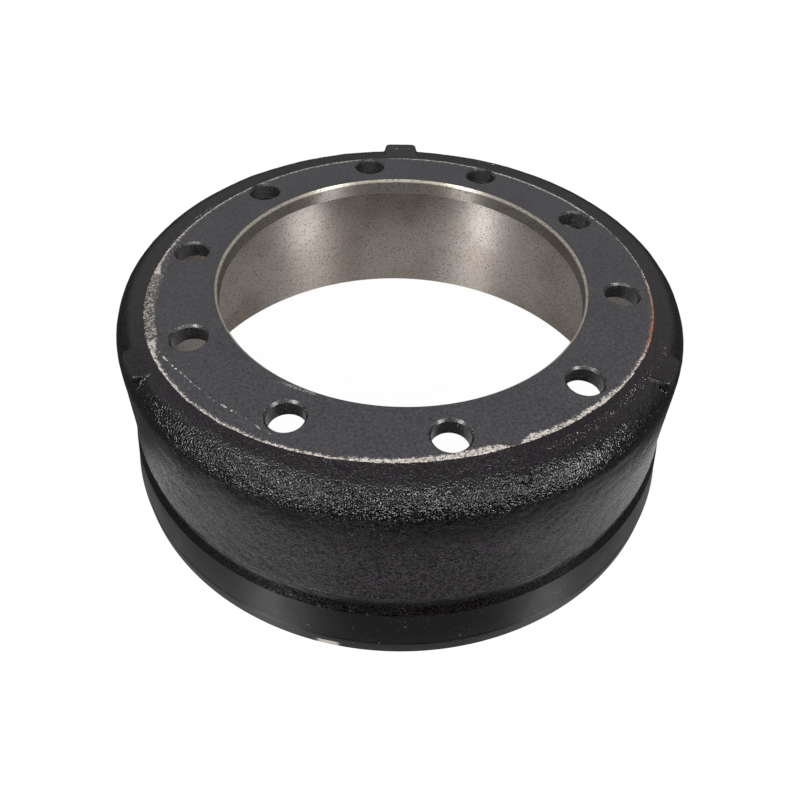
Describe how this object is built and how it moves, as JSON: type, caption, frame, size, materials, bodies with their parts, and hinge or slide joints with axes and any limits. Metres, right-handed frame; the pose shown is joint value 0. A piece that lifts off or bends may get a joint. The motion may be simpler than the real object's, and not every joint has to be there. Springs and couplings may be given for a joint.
{
  "type": "brake drum",
  "caption": "Cast-iron truck brake drum: a deep ring with a flat bolted flange, a round hub opening and a turned band around the open rim.",
  "frame": {"origin": "centre of the open rim's plane, on the drum's axis", "axes": "+Z along the drum's axis, from the open rim to the closed mounting flange; +Y towards one of the cast driving lugs"},
  "size_m": [0.4619, 0.462, 0.16],
  "materials": {
    "cast_iron": "dark painted casting with machined faces, bare iron on the friction surface and the spigot bore"
  },
  "bodies": {
    "root": {"brake_drum": "cast_iron"}
  },
  "joints": []
}
